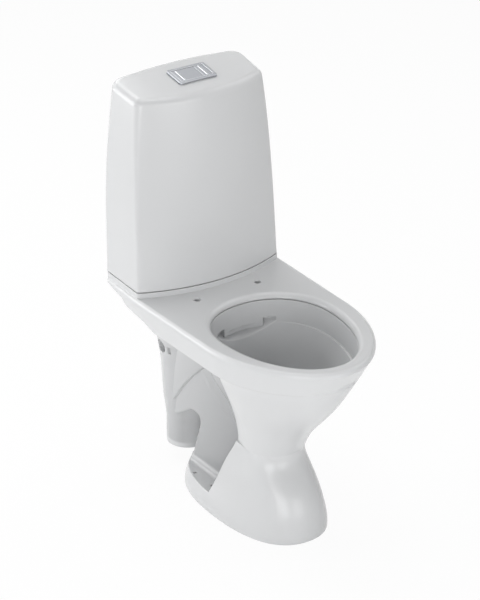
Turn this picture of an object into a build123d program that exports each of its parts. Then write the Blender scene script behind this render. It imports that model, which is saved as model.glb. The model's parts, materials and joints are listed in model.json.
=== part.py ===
from build123d import *
import math
import os

# Floor-standing close-coupled toilet: an open-rim pan of glazed ware, a plastic water tank
# behind it, and a tall glazed hood that stands over the tank and carries the flush buttons.
# Millimetres. +Z is up and the front faces -Y. X = 0 is the plane of symmetry of the ware.
# The origin is on the floor, under the middle of the whole object's box.

# Driving sizes of the whole
overall_depth = 650.0
rim_height = 470.0
total_height = 932.5
ware_wall = 11.0
overrun = 60.0
seam = 0.5

front_y = -overall_depth / 2
back_y = overall_depth / 2

# Rim band and deck. A setback is measured from the wall behind the toilet, towards the front
deck_half_width = 183.0
deck_shoulder_half_width = 187.0
deck_rear_half_width = 178.0
deck_shoulder_setback = 165.0
deck_shoulder_y = back_y - deck_shoulder_setback
nose_length = 260.0
band_height = 64.0
band_top_flat = 12.0
deck_back_gap = 3.0
deck_back_radius = 10.0
rim_outer_radius = 9.0
rim_inner_radius = 12.0
deck_plate = 14.0
rim_fullness_share = 0.52
# Rows of the band, from its sharp lower edge up: share of the band below its flat, half-width
# share, and the setback of the widest place and the reach of the tip as shares of the nose
band_row_shares = [(0.0, 0.9235, 0.058, 0.858), (0.5, 0.967, 0.023, 0.926)]

# Skirt under the bowl and foot flare below the waist: height share of the rim height,
# half-width share of the deck's, back, widest place and tip as shares of half the depth,
# and the fullness of the nose
skirt_row_shares = [
    (0.905, 0.920, 0.060, -0.268, -0.900, 0.53),
    (0.864, 0.890, 0.060, -0.262, -0.883, 0.53),
    (0.736, 0.704, 0.080, -0.225, -0.780, 0.54),
    (0.615, 0.542, 0.100, -0.204, -0.644, 0.55),
    (0.523, 0.443, 0.110, -0.192, -0.520, 0.56),
    (0.447, 0.388, 0.120, -0.188, -0.440, 0.57),
    (0.388, 0.361, 0.130, -0.186, -0.391, 0.58),
]
foot_row_shares = [
    (0.388, 0.361, 0.560, -0.186, -0.391, 0.58),
    (0.300, 0.412, 0.570, -0.150, -0.437, 0.60),
    (0.217, 0.472, 0.590, -0.105, -0.540, 0.62),
    (0.149, 0.521, 0.610, -0.050, -0.588, 0.64),
    (0.092, 0.572, 0.632, 0.010, -0.606, 0.65),
    (0.0, 0.609, 0.655, 0.025, -0.600, 0.66),
]
# Side view of the ridge where the skirt ends and the recess behind it begins: back share of
# half the depth, height share of the rim height
ridge_shares = [
    (-0.360, 0.960), (-0.298, 0.864), (-0.212, 0.736), (-0.137, 0.615), (-0.086, 0.523),
    (-0.046, 0.400), (0.018, 0.300), (0.070, 0.185), (0.114, 0.0915),
]

# Foot with its two screw ledges
ledge_height = 43.0
recess_radius = 16.0
foot_edge_radius = 3.0
floor_screw_half_spacing = 80.0
floor_screw_setback = 200.0
floor_screw_rear_y = back_y - floor_screw_setback
floor_screw_pitch = 68.0
floor_screw_hole_radius = 4.0

# Trapway web, outlet column and the arch between the column and the foot
web_inset = 1.0
web_edge_radius = 9.0
outlet_radius = 47.5
outlet_y = back_y - outlet_radius
outlet_bottom = 35.0
outlet_spigot_length = 62.0
# Rows of the column above its spigot: height share of the rim height, radius share
column_row_shares = [(0.30, 1.10), (0.41, 1.18), (0.545, 1.28), (0.64, 1.42), (0.72, 1.51), (0.95, 1.55)]
# Outline of the arch from the floor up and back: share of half the depth, of the rim height
arch_shares = [(0.615, 0.05), (0.468, 0.340), (0.600, 0.334), (0.820, 0.232)]
arch_radius = 16.0
arch_back_radius = 40.0
trap_radius = 36.0
# Middle line of the trap: share of half the depth, height share of the rim height
trap_path_shares = [(-0.123, 0.517), (0.185, 0.455), (0.560, 0.650), (0.843, 0.590)]
trap_bend_radius = 42.0
fixing_recess_radius = 16.0
fixing_recess_setback = 41.0
fixing_recess_y = back_y - fixing_recess_setback
fixing_recess_z = 283.0
fixing_recess_depth = 20.0
slot_half_width = 4.0
slot_half_height = 8.0
slot_setback = 68.0
slot_y = back_y - slot_setback
slot_z = 281.0

# Underside of the deck: the side lip steps up towards the back. Share of half the depth,
# height share of the rim height, from the back to the front
lip_shares = [
    (1.2, 0.985), (0.985, 0.979), (0.775, 0.951), (0.748, 0.923), (0.517, 0.896), (0.420, 0.862),
]
lip_wall = 14.0
pocket_setback = 213.0
pocket_front_y = back_y - pocket_setback

# Bowl: height share of the rim height, half-width, back, widest place and front as shares of
# the opening's own half-width, half-length and centre
bowl_half_width = 138.0
bowl_back_setback = 257.0
bowl_back_y = back_y - bowl_back_setback
rim_front_width = 35.0
bowl_front_y = front_y + rim_front_width
bowl_widest_shift = 36.0
bowl_widest_y = (bowl_front_y + bowl_back_y) / 2 + bowl_widest_shift
upper_wall_height = 64.0
upper_wall_draft = 7.0
ledge_step = 4.0
bowl_back_fullness = 0.60
bowl_front_fullness = 0.55
bowl_row_shares = [
    (0.862, 0.925, 0.960, 0.0, 0.925),
    (0.740, 0.755, 0.905, 0.02, 0.720),
    (0.620, 0.560, 0.850, 0.06, 0.500),
    (0.520, 0.420, 0.790, 0.11, 0.320),
    (0.440, 0.330, 0.700, 0.15, 0.200),
]

# Flush apron, hung from the back wall of the bowl, and the water way behind it
apron_half_width = 50.0
apron_drop = 72.0
apron_notch_top = 53.0
apron_thickness = 8.0
chamber_half_width = 84.0
chamber_reach = 18.0
chamber_narrowing = 0.66
chamber_foot = 94.0
chamber_floor = 60.0
chamber_roof = 30.0
duct_half_width = 38.0
duct_roof = 24.0
duct_floor = 62.0
inlet_radius = 30.0
seat_hole_half_spacing = 77.5
seat_hole_setback = 209.5
seat_hole_y = back_y - seat_hole_setback
seat_hole_radius = 7.5
seat_hole_mouth = 1.5

# Rear platform that the hood stands on
platform_step = 12.0
platform_margin = 0.5
platform_rear_share = 0.975
platform_sweep = 12.0
sweep_steps = 5
platform_z = rim_height + platform_step

# Tank hood of glazed ware: its rows from the bottom up as height share of the hood, front and
# back half-width shares, corner and centre setback from the bottom row, corner radii
hood_wall = 9.0
hood_gap = 2.0
hood_half_width = 181.0
hood_corner_setback = 135.5
hood_corner_y = back_y - hood_corner_setback
hood_bow = 42.0
hood_centre_y = hood_corner_y - hood_bow
hood_bottom = platform_z + hood_gap
hood_height = total_height - hood_bottom
hood_crown_radius = 1400.0
hood_top_slope = 9.5
hood_top_edge_radius = 18.0
# Height, front half-width and back half-width are shares of the hood's; setbacks of the corner
# and the centre, and the front and back corner radii, are shares of the wall
hood_row_shares = [
    (0.0, 1.0, 0.973, 0.0, 0.0, 1.1, 0.9),
    (0.26, 0.978, 0.975, 0.6, 0.4, 1.15, 1.0),
    (0.53, 0.956, 0.966, 1.55, 1.0, 1.35, 1.3),
    (0.80, 0.914, 0.939, 2.45, 2.0, 2.2, 2.6),
    (1.10, 0.836, 0.890, 3.9, 3.6, 3.0, 3.4),
]
pad_length = 14.0
pad_width = 6.0
pad_rear_setback = 25.0
pad_rear_y = back_y - pad_rear_setback
pad_pitch = 80.0

# Dual-flush button set in the top of the hood
button_setback = 76.0
button_y = back_y - button_setback
bezel_width = 94.0
bezel_depth = 58.0
bezel_height = 4.0
bezel_border = 7.0
bezel_corner_radius = 6.0
bezel_edge_radius = 1.2
bezel_seat_gap = 0.3
button_gap = 0.6
button_travel = 6.0
button_thickness = 3.5
button_inset = 0.6
button_edge_radius = 0.8
full_button_width = 56.0
ridge_width = 4.0
ridge_height = 1.0
ridge_side = 9.0
ridge_end = 3.0
guide_wall = 2.5
guide_depth = 34.0
guide_clearance = 1.0
clamp_width = 8.0
clamp_thickness = 4.0
clamp_fit = 0.3
stem_radius = 3.0
stem_fit = 0.3
stem_length = 34.0
rod_radius = 1.8
rod_entry = 20.0
rod_fit = 0.05
full_rod_x = -28.0
half_rod_x = 29.0
spring_wire_radius = 0.5
spring_coil_radius = 4.0
spring_turns = 5

# Water tank of thin plastic under the hood
tank_setback = 71.0
tank_y = back_y - tank_setback
tank_lift = 14.0
tank_base = 4.0
tank_wall = 3.0
tank_half_width = 144.0
tank_depth = 100.0
tank_corner_radius = 18.0
tank_height = 310.0
tank_rib_height = 8.0

# Flush valve
seat_flange_radius = 38.0
seat_flange = 5.0
seat_tail_radius = 25.0
seat_bore_radius = 20.0
seat_tail_length = 30.0
seat_lip = 3.0
seat_lip_radius = 23.0
thread_fit = 0.05
tail_clearance = 0.5
valve_locknut_radius = 34.0
valve_locknut_height = 10.0
locknut_lug = 3.0
locknut_lugs = 8
gasket_radius = 45.0
gasket_hole_radius = 38.0
housing_radius = 36.0
housing_wall = 3.0
cage_height = 56.0
cage_window_width = 28.0
cage_window_height = 32.0
neck_radius = 21.0
neck_height = 202.0
neck_plate = 4.0
neck_plate_radius = 31.0
lift_tube_radius = 14.0
lift_tube_wall = 2.0
lift_tube_fit = 0.3
tube_below_seal = 4.0
seal_radius = 28.0
seal_thickness = 3.0
seal_backing = 4.0
seal_backing_radius = 26.0
float_ring_radius = 17.5
float_ring_height = 70.0
float_ring_drop = 40.0
collar_radius = 24.0
collar_thickness = 4.0

# Rockers between the push rods and the lift tube
rocker_plane = 17.0
rocker_thickness = 4.0
rocker_height = 6.0
rocker_hub_radius = 5.0
rocker_nose = 2.2
rocker_pin_radius = 2.0
rocker_pin_fit = 0.05
rocker_rise = 15.0
half_rocker_drop = 4.5
end_gap = 0.4
cheek_thickness = 3.0
cheek_gap = 0.5
cheek_width = 9.0

# Fill valve
fill_x = -112.0
fill_forward = 14.0
fill_y = tank_y - fill_forward
fill_shank_radius = 10.9
fill_tail_radius = 10.48
fill_shank_bore = 4.0
fill_shank_below = 40.0
fill_body_radius = 11.0
fill_body_height = 176.0
fill_flange_radius = 18.0
fill_flange = 4.0
fill_washer_thickness = 3.0
fill_head_radius = 19.0
fill_head_height = 24.0
fill_cap_height = 9.0
fill_cap_bead = 1.0
fill_cap_bead_height = 4.0
fill_outlet_radius = 4.0
fill_outlet_drop = 150.0
fill_outlet_reach = 24.0
fill_locknut_radius = 16.0
fill_locknut_height = 8.0
shank_hole_clearance = 3.0
float_radius = 24.0
float_height = 50.0
float_wall = 2.0
float_guide_fit = 0.3
float_travel = 14.0
float_stop_radius = 15.0
float_stop_height = 4.0

# Tank bolts with their seals, washers and wing nuts
bolt_x = 90.0
bolt_rearward = 28.0
bolt_y = tank_y + bolt_rearward
bolt_radius = 3.0
bolt_head_radius = 6.5
bolt_head_height = 4.0
bolt_slot_width = 1.5
bolt_seal_radius = 9.0
bolt_seal_thickness = 3.0
bolt_hole_clearance = 1.0
bolt_washer_radius = 9.0
bolt_washer_thickness = 1.5
bolt_tail = 10.0
wing_hub_radius = 5.5
wing_height = 6.0
wing_span = 13.0
wing_thickness = 2.5
wing_rise = 5.0

# Belly of the bowl behind the skirt: height share of the rim height, half-width share of the
# deck's, back as a share of half the depth; it is widest where the bowl is
belly_row_shares = [
    (0.955, 0.830, 0.430),
    (0.864, 0.796, 0.400),
    (0.736, 0.657, 0.340),
    (0.615, 0.507, 0.270),
    (0.523, 0.402, 0.215),
    (0.447, 0.344, 0.170),
    (0.417, 0.313, 0.130),
    (0.330, 0.234, 0.095),
]
belly_fullness = 0.60
belly_front_share = 0.5
bulge_margin = 5.0
bulge_edge_radius = 4.0
# Lower front boundary of the trapway bulge, as shares of half the depth and of the rim height
bulge_arc_shares = [(0.790, 0.330), (0.517, 0.553), (0.185, 0.723)]


def nose_wire(z, half_width, share, inset, rear_y, widest_y, tip_y, fullness):
    """D outline: sides that widen to a shoulder and draw in behind it, and a curved nose."""
    shoulder_half = share * deck_shoulder_half_width - inset
    rear_half = share * deck_rear_half_width - inset
    pull_y = widest_y - fullness * (widest_y - tip_y)
    pull_x = fullness * half_width
    left, right, tip = (-half_width, widest_y, z), (half_width, widest_y, z), (0, tip_y, z)
    left_shoulder = (-shoulder_half, deck_shoulder_y, z)
    right_shoulder = (shoulder_half, deck_shoulder_y, z)
    rear_left, rear_right = (-rear_half, rear_y, z), (rear_half, rear_y, z)
    bend_y = (deck_shoulder_y + rear_y) / 2
    left_nose = Bezier(left, (-half_width, pull_y, z), (-pull_x, tip_y, z), tip)
    right_nose = Bezier(tip, (pull_x, tip_y, z), (half_width, pull_y, z), right)
    left_side = Bezier(rear_left, (-shoulder_half, bend_y, z), left_shoulder)
    right_side = Bezier(right_shoulder, (shoulder_half, bend_y, z), rear_right)
    front = [Line(left_shoulder, left), left_nose, right_nose, Line(right, right_shoulder)]
    return Wire([left_side] + front + [right_side, Line(rear_right, rear_left)])


def egg_wire(z, half_width, back, widest_y, front, back_fullness, front_fullness):
    """Closed egg outline of four quarter curves that meet at the widest place and the two ends."""
    front_pull = widest_y + front_fullness * (front - widest_y)
    back_pull = widest_y + back_fullness * (back - widest_y)
    front_x = front_fullness * half_width
    back_x = back_fullness * half_width
    left, right = (-half_width, widest_y, z), (half_width, widest_y, z)
    tip, tail = (0, front, z), (0, back, z)
    return Wire([
        Bezier(left, (-half_width, front_pull, z), (-front_x, front, z), tip),
        Bezier(tip, (front_x, front, z), (half_width, front_pull, z), right),
        Bezier(right, (half_width, back_pull, z), (back_x, back, z), tail),
        Bezier(tail, (-back_x, back, z), (-half_width, back_pull, z), left),
    ])


def smooth_solid(wires):
    return Solid.make_loft(wires, False)


def straight_solid(wires):
    return Solid.make_loft(wires, True)


def block(x0, x1, y0, y1, z0, z1):
    """Box between two corners."""
    centre = ((x0 + x1) / 2, (y0 + y1) / 2, (z0 + z1) / 2)
    return Pos(*centre) * Box(x1 - x0, y1 - y0, z1 - z0)


def post(x, y, z0, z1, radius):
    """Upright cylinder between two heights."""
    return Pos(x, y, (z0 + z1) / 2) * Cylinder(radius, z1 - z0)


def ring(x, y, z0, z1, radius, hole):
    """Upright ring between two heights."""
    return post(x, y, z0, z1, radius) - post(x, y, z0 - overrun, z1 + overrun, hole)


def cross_bar(x, y0, y1, z, radius):
    """Round bar along Y."""
    return Pos(x, (y0 + y1) / 2, z) * Rot(90, 0, 0) * Cylinder(radius, y1 - y0)


def side_plate(outline, half_width):
    """Plate of an outline drawn in Y and Z, standing across the plane of symmetry."""
    face = Plane.YZ * outline
    return extrude(face, half_width, both=True)


def hood_wire(row, inset, drop):
    """Outline of the hood's wall at one row, drawn in by an inset and lowered by a drop."""
    height, front_width, back_width, corner_back, centre_back, front_round, back_round = row
    z = hood_bottom + height * hood_height - drop
    front_x = front_width * hood_half_width - inset
    back_x = back_width * hood_half_width - inset
    corner = hood_corner_y + corner_back * hood_wall + inset
    centre = hood_centre_y + centre_back * hood_wall + inset
    rear = back_y - inset
    bow = ThreePointArc((-front_x, corner), (0, centre), (front_x, corner))
    sides = [Line((front_x, corner), (back_x, rear)), Line((-back_x, rear), (-front_x, corner))]
    rear_line = Line((back_x, rear), (-back_x, rear))
    face = make_face([bow, sides[0], rear_line, sides[1]])
    shrink = max(hood_wall - inset, 0) / hood_wall
    rounding = shrink + (1 - shrink) / 2
    front_corners = face.vertices().filter_by(lambda v: v.Y < (corner + rear) / 2)
    face = fillet(front_corners, front_round * hood_wall * rounding)
    back_corners = face.vertices().sort_by(Axis.Y)[-2:]
    face = fillet(back_corners, back_round * hood_wall * rounding)
    return (Pos(0, 0, z) * face).wires()[0]


half_depth = overall_depth / 2
deck_rear_y = back_y - deck_back_gap
deck_widest_y = front_y + nose_length
band_bottom = rim_height - band_height
web_half_width = outlet_radius - web_inset


def side_points(shares):
    """Points of a side view, from shares of half the depth and of the rim height."""
    return [(back * half_depth, height * rim_height) for back, height in shares]


def band_wire(row, inset, rear_y):
    """Outline of the rim band at one row, drawn in by an inset."""
    height, width, setback, reach = row
    z = band_bottom + height * (band_height - band_top_flat)
    widest_y = deck_widest_y - setback * nose_length
    tip_y = deck_widest_y - reach * nose_length + inset
    half_width = width * deck_half_width - inset
    return nose_wire(z, half_width, width, inset, rear_y, widest_y, tip_y, rim_fullness_share)


def deck_block(inset, rear_y, top):
    """Band and deck as one block, with its side drawn in by an inset."""
    full_row = (1.0, 1.0, 0.0, 1.0)
    wires = [band_wire(row, inset, rear_y) for row in band_row_shares + [full_row]]
    upper = wires[-1]
    rise = top - upper.center().Z
    return smooth_solid(wires) + straight_solid([upper, upper.moved(Location((0, 0, rise)))])


def deck_body():
    """Deck and rim band with rounded edges, a stepped side lip and an open underside."""
    deck = deck_block(0, deck_rear_y, rim_height)
    far_x = deck_half_width / 2
    near_back = deck_rear_y - seam
    corners = deck.edges().filter_by(lambda e: e.center().Y > near_back)
    deck = fillet(corners.filter_by(lambda e: abs(e.center().X) > far_x), deck_back_radius)
    deck = fillet(deck.faces().sort_by(Axis.Z)[-1].edges(), rim_outer_radius)
    deck = deck - bowl_upper(0, rim_height + overrun)
    mouth = deck.faces().sort_by(Axis.Z)[-1].inner_wires()[0].edges()
    deck = fillet(mouth, rim_inner_radius)
    for side in (-1, 1):
        x = side * seat_hole_half_spacing
        deck = deck - post(x, seat_hole_y, 0, rim_height + overrun, seat_hole_radius)
    mouths = deck.faces().sort_by(Axis.Z)[-1].edges().filter_by(GeomType.CIRCLE)
    deck = fillet(mouths.filter_by(lambda e: e.radius < 2 * seat_hole_radius), seat_hole_mouth)
    lip = side_points(lip_shares)
    low = band_bottom - overrun
    cutter = Polyline(*lip, (lip[-1][0], low), (lip[0][0], low), close=True)
    return deck - side_plate(make_face(cutter), deck_half_width + overrun)


def band_void():
    """Hollow inside the rim band, open to the underside behind the skirt."""
    hollow = deck_block(ware_wall, deck_rear_y - ware_wall, rim_height - deck_plate)
    half = deck_shoulder_half_width
    low = band_bottom + ware_wall
    return hollow & block(-half, half, front_y, pocket_front_y + ware_wall, low, rim_height)


def deck_pocket():
    """Open underside of the deck behind the bowl, inside the side lip."""
    half = deck_rear_half_width - lip_wall
    roof = rim_height - deck_plate
    return block(-half, half, pocket_front_y, deck_rear_y - lip_wall, band_bottom - overrun, roof)


def platform_wire(z, margin, sweep):
    """Outline of the raised platform: the hood's own foot line, a margin outside it."""
    half = hood_half_width + platform_margin + margin
    back_half = platform_rear_share * hood_half_width
    corner = hood_corner_y - platform_margin - sweep
    centre = hood_centre_y - platform_margin - sweep
    bow = ThreePointArc((-half, corner), (0, centre), (half, corner))
    outline = [bow, Line((half, corner), (back_half, deck_rear_y))]
    outline += [Line((back_half, deck_rear_y), (-back_half, deck_rear_y))]
    outline += [Line((-back_half, deck_rear_y), (-half, corner))]
    face = make_face(outline)
    face = fillet(face.vertices(), hood_wall)
    return (Pos(0, 0, z) * face).wires()[0]


def platform_body():
    """Raised platform with a concave sweep down to the deck in front of it."""
    wires = []
    for i in range(sweep_steps + 1):
        turn = math.radians(90 * i / sweep_steps)
        z = platform_z - platform_step * math.sin(turn)
        wires.append(platform_wire(z, 0, platform_sweep * (1 - math.cos(turn))))
    sweep = straight_solid(wires)
    foot = straight_solid([wires[-1], wires[-1].moved(Location((0, 0, -seam)))])
    base = rim_height - deck_plate
    core_wire = platform_wire(base, 0, 0)
    core = straight_solid([core_wire, core_wire.moved(Location((0, 0, platform_z - base)))])
    return core + sweep + foot


def recess_cutter(grow):
    """Space beside the web, behind the skirt's ridge and above the screw ledge, on both sides."""
    ridge = [(y - grow, z) for y, z in side_points(ridge_shares)]
    ridge[-1] = (ridge[-1][0], ledge_height - grow)
    rear = back_y + overrun
    top = rim_height + overrun
    low = ridge[-1][1]
    edges = [Spline(*ridge), Line(ridge[-1], (rear, low)), Line((rear, low), (rear, top))]
    edges += [Line((rear, top), (ridge[0][0], top)), Line((ridge[0][0], top), ridge[0])]
    face = Plane.YZ * make_face(edges)
    inner = web_half_width - grow
    reach = deck_half_width + overrun
    right = Pos(inner, 0, 0) * extrude(face, reach)
    if grow == 0:
        near = inner + seam
        inner_edges = right.edges().filter_by(lambda e: e.center().X < near and e.center().Y < back_y)
        right = fillet(inner_edges.filter_by(lambda e: e.center().Z < rim_height), recess_radius)
    return right + mirror(right, Plane.YZ)


def egg_rows(shares, inset, drop):
    """Outlines of the skirt or the foot, drawn in by an inset and moved down by a drop."""
    wires = []
    for height, width, back, widest, tip, fullness in shares:
        z = height * rim_height - drop
        half_width = width * deck_half_width - inset
        rear = back * half_depth - inset
        front = tip * half_depth + inset
        wires.append(egg_wire(z, half_width, rear, widest * half_depth, front, fullness, fullness))
    return wires


def arch_outline():
    """Side view of the web: its front inside the foot, and the arch behind and below it."""
    points = side_points(arch_shares)
    front = skirt_row_shares[-1][4] * half_depth / 2
    top = rim_height - deck_plate
    outline = [(front, points[0][1])] + points + [(points[-1][0], top), (front, top)]
    face = make_face(Polyline(*outline, close=True))
    corner = face.vertices().sort_by_distance(Vector(*points[1]))[0]
    face = fillet([corner], arch_radius)
    crown = face.vertices().sort_by_distance(Vector(*points[2]))[0]
    return fillet([crown], arch_back_radius)


def web_hollow():
    """Hollow of the web below the trap, open at the floor."""
    start, corner = side_points(arch_shares)[:2]
    front = skirt_row_shares[-1][4] * half_depth / 2
    lean = (start[0] - corner[0]) / (start[1] - corner[1])
    low = (start[0] - lean * (start[1] + overrun) - ware_wall, -overrun)
    high = (corner[0] - ware_wall, corner[1] - ware_wall)
    outline = Polyline((front, -overrun), low, high, (front, high[1]), close=True)
    return side_plate(make_face(outline), web_half_width - ware_wall)


def arch_space():
    """Open space behind the foot and under the trapway, above the screw ledge."""
    points = side_points(arch_shares)
    start, corner = points[0], points[1]
    lean = (start[0] - corner[0]) / (start[1] - corner[1])
    foot = (start[0] + lean * (ledge_height - start[1]), ledge_height)
    rear = back_y + overrun
    high = points[-1][1]
    face = make_face(Polyline(foot, *points[1:], (rear, high), (rear, ledge_height), close=True))
    inner = face.vertices().sort_by_distance(Vector(*corner))[0]
    face = fillet([inner], arch_radius)
    crown = face.vertices().sort_by_distance(Vector(*points[2]))[0]
    return side_plate(fillet([crown], arch_back_radius), deck_half_width)


def web_body():
    """Upright web that holds the trap, with rounded edges along the arch."""
    web = side_plate(arch_outline(), web_half_width)
    points = side_points(arch_shares)
    edges = web.edges().filter_by(lambda e: abs(e.center().X) > web_half_width - seam)
    edges = edges.filter_by(lambda e: e.center().Y > points[1][0] - seam)
    edges = edges.filter_by(lambda e: e.center().Z < points[1][1] + seam)
    edges = edges.filter_by(lambda e: e.center().Z > points[0][1] + seam)
    return fillet(edges, web_edge_radius)


def foot_body():
    """Flared foot and the web that rises from it, open underneath, with a rounded arch edge."""
    foot = smooth_solid(egg_rows(foot_row_shares, 0, 0))
    foot = fillet(foot.faces().sort_by(Axis.Z)[0].edges(), foot_edge_radius)
    foot = foot - recess_cutter(0) - arch_space()
    sharp_web = side_plate(arch_outline(), web_half_width)
    round_web = web_body()
    foot = (foot - (sharp_web - round_web)) + round_web
    hollow = smooth_solid(egg_rows(foot_row_shares, ware_wall, ware_wall)) - recess_cutter(ware_wall)
    return foot - hollow - web_hollow()


def bulge_body():
    """Slightly thicker upper part of the web, where the trapway swells into the column."""
    low, middle, high = side_points(bulge_arc_shares)
    top = rim_height - deck_plate
    edges = [ThreePointArc(low, middle, high), Line(high, (high[0], top))]
    edges += [Line((high[0], top), (outlet_y, top)), Line((outlet_y, top), (outlet_y, low[1]))]
    edges += [Line((outlet_y, low[1]), low)]
    plate = side_plate(make_face(edges), web_half_width + bulge_margin)
    reach = web_half_width + bulge_margin - seam
    arc_edges = plate.edges().filter_by(lambda e: abs(e.center().X) > reach).filter_by(GeomType.CIRCLE)
    return fillet(arc_edges, bulge_edge_radius)


def column_body():
    """Outlet column: a true round spigot below, widening towards the deck, flat at the back."""
    spigot_top = outlet_bottom + outlet_spigot_length
    spigot = post(0, outlet_y, outlet_bottom, spigot_top, outlet_radius)
    circles = [Pos(0, outlet_y, spigot_top) * Circle(outlet_radius)]
    for height, widening in column_row_shares:
        circles.append(Pos(0, outlet_y, height * rim_height) * Circle(outlet_radius * widening))
    flare = smooth_solid([c.wires()[0] for c in circles])
    reach = deck_half_width
    keep = block(-reach, reach, 0, deck_rear_y, 0, rim_height - deck_plate)
    return (spigot + flare) & keep


def belly_body():
    """Outside of the bowl behind the skirt, under the deck."""
    wires = []
    for height, width, back in belly_row_shares:
        half_width = width * deck_half_width
        front = bowl_widest_y - belly_front_share * half_width
        rows = (height * rim_height, half_width, back * half_depth, bowl_widest_y, front)
        wires.append(egg_wire(*rows, belly_fullness, belly_fullness))
    return smooth_solid(wires)


def bowl_wire(z, width, back, shift, front, inset):
    """One outline of the bowl, from shares of the opening about its widest place."""
    back_reach = bowl_back_y - bowl_widest_y
    front_reach = bowl_widest_y - bowl_front_y
    widest = bowl_widest_y + shift * back_reach
    rear = bowl_widest_y + back * back_reach - inset
    nose = bowl_widest_y - front * front_reach + inset
    half_width = width * bowl_half_width - inset
    return egg_wire(z, half_width, rear, widest, nose, bowl_back_fullness, bowl_front_fullness)


def bowl_upper(grow, top):
    """Steep upper wall of the bowl, from the rim down to the washed ledge."""
    low = rim_height - upper_wall_height
    over = (top - low) / upper_wall_height
    spread = (over - 1) * upper_wall_draft
    return straight_solid([
        bowl_wire(low, 1.0, 1.0, 0.0, 1.0, upper_wall_draft - grow),
        bowl_wire(top, 1.0, 1.0, 0.0, 1.0, -grow - spread),
    ])


def bowl_lower(grow):
    """Funnel of the bowl below the ledge, down to the sump."""
    ledge = rim_height - upper_wall_height + seam
    wires = [bowl_wire(ledge, *bowl_row_shares[0][1:], -grow)]
    for height, width, back, shift, front in bowl_row_shares[1:]:
        wires.append(bowl_wire(height * rim_height - grow, width, back, shift, front, -grow))
    return smooth_solid(wires)


def trap_path():
    """Middle line of the trap from the sump over the weir and down the column."""
    points = [(0, y, z) for y, z in side_points(trap_path_shares)]
    end = (0, outlet_y, outlet_bottom - overrun)
    return FilletPolyline(*points, end, radius=trap_bend_radius)


def trap_tube(radius):
    """The trap as a round tube with a rounded start in the sump."""
    path = trap_path()
    section = Plane(path @ 0, z_dir=path % 0) * Circle(radius)
    return sweep(section, path=path) + Pos(*(path @ 0)) * Sphere(radius)


def trap_shell():
    """Wall of ware round the trap where the web and the foot are hollow."""
    tube = trap_tube(trap_radius + ware_wall)
    low = outlet_bottom + outlet_spigot_length
    return tube & block(-overrun, overrun, front_y, outlet_y, low, rim_height)


def chamber_wire(z, share):
    """Outline of the chamber behind the apron: an egg that crosses the bowl's own outline."""
    back = bowl_back_y + chamber_reach
    half_width = share * chamber_half_width
    fullness = bowl_back_fullness
    return egg_wire(z, half_width, share * back, 0, -half_width, fullness, fullness)


def apron_space():
    """Apron of ware on the back wall of the bowl, with a notch at each side of its tongue."""
    grown = rim_height - chamber_foot - overrun
    wires = [bowl_wire(z, 1.0, 1.0, 0.0, 1.0, -apron_thickness) for z in (grown, rim_height)]
    skin = straight_solid(wires)
    half = apron_half_width
    wide = chamber_half_width
    tongue = block(-half, half, front_y, back_y, rim_height - apron_drop, rim_height)
    curtain = block(-wide, wide, front_y, back_y, rim_height - apron_notch_top, rim_height)
    return skin & (tongue + curtain)


def water_way():
    """Inlet under the tank, the duct forward and the chamber behind the flush apron."""
    roof = rim_height - duct_roof
    floor = rim_height - duct_floor
    inlet = post(0, button_y, floor, platform_z + overrun, inlet_radius)
    duct_front = bowl_back_y + apron_thickness + seam
    duct = block(-duct_half_width, duct_half_width, duct_front, button_y, floor, roof)
    low, middle = rim_height - chamber_foot, rim_height - chamber_floor
    high = rim_height - chamber_roof
    chamber = straight_solid([chamber_wire(low, chamber_narrowing), chamber_wire(middle, 1)])
    chamber = chamber + straight_solid([chamber_wire(middle, 1), chamber_wire(high, 1)])
    return inlet + duct + (chamber - apron_space())


def skirt_body():
    """Skirt round the front of the bowl, with a hollow between it and the bowl."""
    skirt = smooth_solid(egg_rows(skirt_row_shares, 0, 0)) - recess_cutter(0)
    hollow = smooth_solid(egg_rows(skirt_row_shares[:4], ware_wall, 0)) - recess_cutter(ware_wall)
    return skirt - hollow


def fixing_recesses():
    """Round recess and small slot beside the top of the outlet column, on both sides."""
    inner = outlet_radius * column_row_shares[2][1] - fixing_recess_depth
    outer = deck_half_width
    slot_front, slot_back = slot_y - slot_half_width, slot_y + slot_half_width
    slot_low, slot_high = slot_z - slot_half_height, slot_z + slot_half_height
    recesses = []
    for side in (-1, 1):
        x0, x1 = sorted((side * inner, side * outer))
        middle = (x0 + x1) / 2
        round_recess = Pos(middle, fixing_recess_y, fixing_recess_z) * Rot(0, 90, 0)
        recesses.append(round_recess * Cylinder(fixing_recess_radius, x1 - x0))
        recesses.append(block(x0, x1, slot_front, slot_back, slot_low, slot_high))
    return recesses


def floor_screw_places():
    rows = (floor_screw_rear_y, floor_screw_rear_y - floor_screw_pitch)
    return [(side * floor_screw_half_spacing, y) for side in (-1, 1) for y in rows]


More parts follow.
